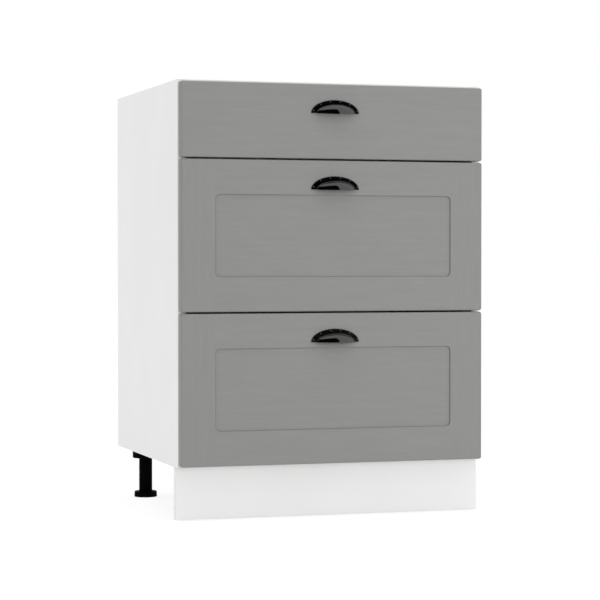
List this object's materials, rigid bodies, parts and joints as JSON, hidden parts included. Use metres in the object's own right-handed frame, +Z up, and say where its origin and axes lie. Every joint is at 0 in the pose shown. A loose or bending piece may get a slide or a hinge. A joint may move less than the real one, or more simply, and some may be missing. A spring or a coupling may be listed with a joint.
{
  "type": "kitchen base cabinet",
  "caption": "White kitchen base cabinet on levelling feet, with a plain grey drawer over framed grey drawers, black cup pulls and a set-back plinth.",
  "frame": {"origin": "on the floor, in the middle of the overall outline seen from above (pulls to carcass back)", "axes": "+Z up, drawers open along -Y, +X to the right of someone facing the fronts"},
  "size_m": [0.6, 0.5494, 0.82],
  "materials": {
    "white_board": "satin white melamine",
    "white_hardboard": "white lacquered face, raw brown back",
    "grey_front": "matt grey wood-grain foil",
    "black_enamel": "gloss black",
    "black_plastic": "moulded black",
    "white_steel": "white powder coat",
    "roller_plastic": "smooth off-white",
    "zinc_steel": "bright zinc",
    "beech": "raw beech"
  },
  "bodies": {
    "carcass": {"left_side_panel": "white_board", "right_side_panel": "white_board", "bottom_panel": "white_board", "front_top_rail": "white_board", "rear_top_rail": "white_board", "plinth_board": "white_board", "back_panel": "white_hardboard", "cam_locks": "zinc_steel", "cam_bolts": "zinc_steel", "carcass_dowels": "beech", "runner_screws": "zinc_steel", "plinth_clips": "black_plastic", "leg_sockets": "black_plastic", "leg_tubes": "black_plastic", "top_drawer_runner_left_fixed": "white_steel", "top_drawer_runner_right_fixed": "white_steel", "middle_drawer_runner_left_fixed": "white_steel", "middle_drawer_runner_right_fixed": "white_steel", "bottom_drawer_runner_left_fixed": "white_steel", "bottom_drawer_runner_right_fixed": "white_steel"},
    "top_drawer": {"top_drawer_front": "grey_front", "top_drawer_pull": "black_enamel", "top_drawer_pull_screws": "zinc_steel", "top_drawer_box_left_side": "white_board", "top_drawer_box_right_side": "white_board", "top_drawer_box_back": "white_board", "top_drawer_box_bottom": "white_hardboard", "top_drawer_box_dowels": "beech", "top_drawer_runner_left_moving": "white_steel", "top_drawer_runner_right_moving": "white_steel"},
    "top_drawer_front_rollers": {"top_drawer_runner_front_rollers": "roller_plastic"},
    "top_drawer_rear_rollers": {"top_drawer_runner_rear_rollers": "roller_plastic"},
    "middle_drawer": {"middle_drawer_front": "grey_front", "middle_drawer_pull": "black_enamel", "middle_drawer_pull_screws": "zinc_steel", "middle_drawer_box_left_side": "white_board", "middle_drawer_box_right_side": "white_board", "middle_drawer_box_back": "white_board", "middle_drawer_box_bottom": "white_hardboard", "middle_drawer_box_dowels": "beech", "middle_drawer_runner_left_moving": "white_steel", "middle_drawer_runner_right_moving": "white_steel"},
    "middle_drawer_front_rollers": {"middle_drawer_runner_front_rollers": "roller_plastic"},
    "middle_drawer_rear_rollers": {"middle_drawer_runner_rear_rollers": "roller_plastic"},
    "bottom_drawer": {"bottom_drawer_front": "grey_front", "bottom_drawer_pull": "black_enamel", "bottom_drawer_pull_screws": "zinc_steel", "bottom_drawer_box_left_side": "white_board", "bottom_drawer_box_right_side": "white_board", "bottom_drawer_box_back": "white_board", "bottom_drawer_box_bottom": "white_hardboard", "bottom_drawer_box_dowels": "beech", "bottom_drawer_runner_left_moving": "white_steel", "bottom_drawer_runner_right_moving": "white_steel"},
    "bottom_drawer_front_rollers": {"bottom_drawer_runner_front_rollers": "roller_plastic"},
    "bottom_drawer_rear_rollers": {"bottom_drawer_runner_rear_rollers": "roller_plastic"},
    "front_left_foot": {"front_left_foot": "black_plastic"},
    "front_right_foot": {"front_right_foot": "black_plastic"},
    "rear_left_foot": {"rear_left_foot": "black_plastic"},
    "rear_right_foot": {"rear_right_foot": "black_plastic"}
  },
  "joints": [
    {"name": "top_drawer_slide", "type": "slide", "parent": "carcass", "child": "top_drawer", "axis": [0, -1, 0], "range_m": [0, 0.34]},
    {"name": "top_drawer_front_roller_spin", "type": "hinge", "parent": "carcass", "child": "top_drawer_front_rollers", "pos_m": [0, -0.21625, 0.70915], "axis": [1, 0, 0], "range_deg": [0, 1800]},
    {"name": "top_drawer_rear_roller_spin", "type": "hinge", "parent": "top_drawer", "child": "top_drawer_rear_rollers", "pos_m": [0, 0.19725, 0.70915], "axis": [1, 0, 0], "range_deg": [0, 1800]},
    {"name": "middle_drawer_slide", "type": "slide", "parent": "carcass", "child": "middle_drawer", "axis": [0, -1, 0], "range_m": [0, 0.34]},
    {"name": "middle_drawer_front_roller_spin", "type": "hinge", "parent": "carcass", "child": "middle_drawer_front_rollers", "pos_m": [0, -0.21625, 0.42265], "axis": [1, 0, 0], "range_deg": [0, 1800]},
    {"name": "middle_drawer_rear_roller_spin", "type": "hinge", "parent": "middle_drawer", "child": "middle_drawer_rear_rollers", "pos_m": [0, 0.19725, 0.42265], "axis": [1, 0, 0], "range_deg": [0, 1800]},
    {"name": "bottom_drawer_slide", "type": "slide", "parent": "carcass", "child": "bottom_drawer", "axis": [0, -1, 0], "range_m": [0, 0.34]},
    {"name": "bottom_drawer_front_roller_spin", "type": "hinge", "parent": "carcass", "child": "bottom_drawer_front_rollers", "pos_m": [0, -0.21625, 0.13615], "axis": [1, 0, 0], "range_deg": [0, 1800]},
    {"name": "bottom_drawer_rear_roller_spin", "type": "hinge", "parent": "bottom_drawer", "child": "bottom_drawer_rear_rollers", "pos_m": [0, 0.19725, 0.13615], "axis": [1, 0, 0], "range_deg": [0, 1800]},
    {"name": "front_left_foot_adjust", "type": "slide", "parent": "carcass", "child": "front_left_foot", "axis": [0, 0, -1], "range_m": [0, 0.02]},
    {"name": "front_right_foot_adjust", "type": "slide", "parent": "carcass", "child": "front_right_foot", "axis": [0, 0, -1], "range_m": [0, 0.02]},
    {"name": "rear_left_foot_adjust", "type": "slide", "parent": "carcass", "child": "rear_left_foot", "axis": [0, 0, -1], "range_m": [0, 0.02]},
    {"name": "rear_right_foot_adjust", "type": "slide", "parent": "carcass", "child": "rear_right_foot", "axis": [0, 0, -1], "range_m": [0, 0.02]}
  ],
  "couplings": [
    {"joint": "top_drawer_front_roller_spin", "follows": "top_drawer_slide", "rad_per_m": 90.909},
    {"joint": "top_drawer_rear_roller_spin", "follows": "top_drawer_slide", "rad_per_m": 90.909},
    {"joint": "middle_drawer_front_roller_spin", "follows": "middle_drawer_slide", "rad_per_m": 90.909},
    {"joint": "middle_drawer_rear_roller_spin", "follows": "middle_drawer_slide", "rad_per_m": 90.909},
    {"joint": "bottom_drawer_front_roller_spin", "follows": "bottom_drawer_slide", "rad_per_m": 90.909},
    {"joint": "bottom_drawer_rear_roller_spin", "follows": "bottom_drawer_slide", "rad_per_m": 90.909}
  ]
}
